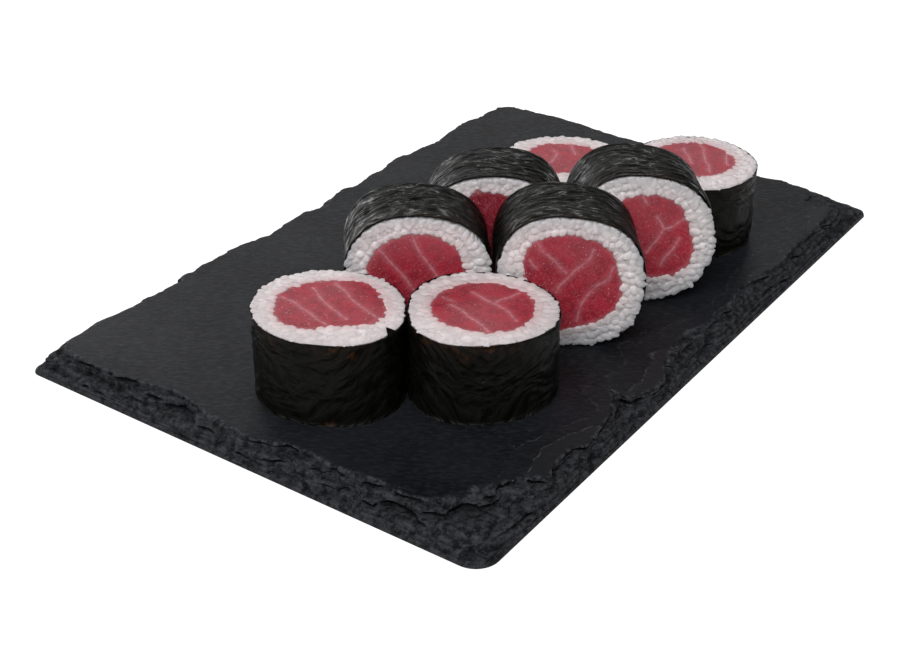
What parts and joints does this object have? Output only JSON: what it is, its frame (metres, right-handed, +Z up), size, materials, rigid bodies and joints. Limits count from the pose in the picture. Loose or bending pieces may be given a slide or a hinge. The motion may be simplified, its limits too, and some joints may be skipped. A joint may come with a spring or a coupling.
{
  "type": "maki sushi roll",
  "caption": "Tuna maki sushi rolls, some standing and some lying with the cut face to the front, served on a rectangular slate board with chipped edges.",
  "frame": {"origin": "centre of the board's underside, which is also the bottom centre of the bounding box", "axes": "+X along the board's long side, +Y along its short side, +Z up; the cut faces of the lying rolls look towards -X -Y"},
  "size_m": [0.25, 0.16, 0.0502],
  "materials": {
    "slate": "matte",
    "nori": "satin",
    "rice": "gloss",
    "tuna": "satin"
  },
  "bodies": {
    "root": {"slate": "slate", "nori_1": "nori", "rice_1": "rice", "tuna_1": "tuna", "nori_2": "nori", "rice_2": "rice", "tuna_2": "tuna", "nori_3": "nori", "rice_3": "rice", "tuna_3": "tuna", "nori_4": "nori", "rice_4": "rice", "tuna_4": "tuna", "nori_5": "nori", "rice_5": "rice", "tuna_5": "tuna", "nori_6": "nori", "rice_6": "rice", "tuna_6": "tuna", "nori_7": "nori", "rice_7": "rice", "tuna_7": "tuna", "nori_8": "nori", "rice_8": "rice", "tuna_8": "tuna"}
  },
  "joints": []
}
